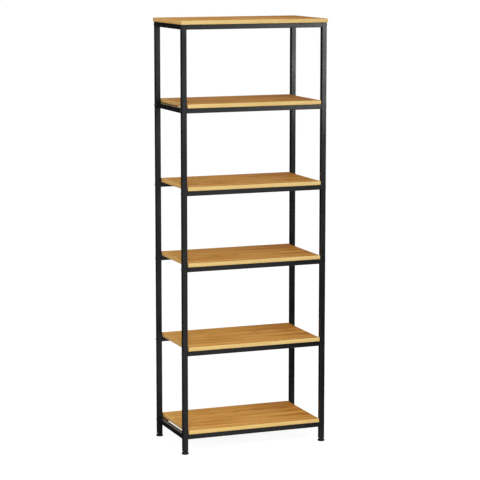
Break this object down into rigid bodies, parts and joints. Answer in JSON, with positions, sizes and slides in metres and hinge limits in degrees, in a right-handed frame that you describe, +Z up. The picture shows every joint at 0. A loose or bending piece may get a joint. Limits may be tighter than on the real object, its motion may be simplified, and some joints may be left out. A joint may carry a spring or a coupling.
{
  "type": "industrial shelving unit",
  "caption": "Tall open shelving unit of black square tubes with wood boards on front and back rails, standing on screw-in levelling feet.",
  "frame": {"origin": "on the floor, under the middle of the unit", "axes": "+Z up along the posts, -Y towards the front, X along the length of the boards"},
  "size_m": [0.641, 0.355, 1.78],
  "materials": {
    "board_wood": "satin oak-coloured veneer on shelf board",
    "frame_black": "satin black powder coat",
    "sleeve_steel": "bare steel",
    "plug_plastic": "black moulded plastic",
    "foot_plastic": "black moulded plastic"
  },
  "bodies": {
    "frame": {"top_board": "board_wood", "shelf_board_2": "board_wood", "shelf_board_3": "board_wood", "shelf_board_4": "board_wood", "shelf_board_5": "board_wood", "shelf_board_6": "board_wood", "post_upper_front_left": "frame_black", "post_upper_front_right": "frame_black", "post_upper_back_left": "frame_black", "post_upper_back_right": "frame_black", "post_lower_front_left": "frame_black", "post_lower_front_right": "frame_black", "post_lower_back_left": "frame_black", "post_lower_back_right": "frame_black", "post_sleeve_front_left": "sleeve_steel", "post_sleeve_front_right": "sleeve_steel", "post_sleeve_back_left": "sleeve_steel", "post_sleeve_back_right": "sleeve_steel", "rail_front_1": "frame_black", "rail_back_1": "frame_black", "rail_front_2": "frame_black", "rail_back_2": "frame_black", "rail_front_3": "frame_black", "rail_back_3": "frame_black", "rail_front_4": "frame_black", "rail_back_4": "frame_black", "rail_front_5": "frame_black", "rail_back_5": "frame_black", "rail_front_6": "frame_black", "rail_back_6": "frame_black", "rail_left_1": "frame_black", "rail_right_1": "frame_black", "rail_left_2": "frame_black", "rail_right_2": "frame_black", "rail_left_6": "frame_black", "rail_right_6": "frame_black", "post_plug_front_left": "plug_plastic", "post_plug_front_right": "plug_plastic", "post_plug_back_left": "plug_plastic", "post_plug_back_right": "plug_plastic"},
    "foot_front_left": {"levelling_foot_front_left": "foot_plastic"},
    "foot_front_right": {"levelling_foot_front_right": "foot_plastic"},
    "foot_back_left": {"levelling_foot_back_left": "foot_plastic"},
    "foot_back_right": {"levelling_foot_back_right": "foot_plastic"}
  },
  "joints": [
    {"name": "foot_screw_front_left", "type": "slide", "parent": "frame", "child": "foot_front_left", "axis": [0, 0, -1], "range_m": [0, 0.012]},
    {"name": "foot_screw_front_right", "type": "slide", "parent": "frame", "child": "foot_front_right", "axis": [0, 0, -1], "range_m": [0, 0.012]},
    {"name": "foot_screw_back_left", "type": "slide", "parent": "frame", "child": "foot_back_left", "axis": [0, 0, -1], "range_m": [0, 0.012]},
    {"name": "foot_screw_back_right", "type": "slide", "parent": "frame", "child": "foot_back_right", "axis": [0, 0, -1], "range_m": [0, 0.012]}
  ]
}
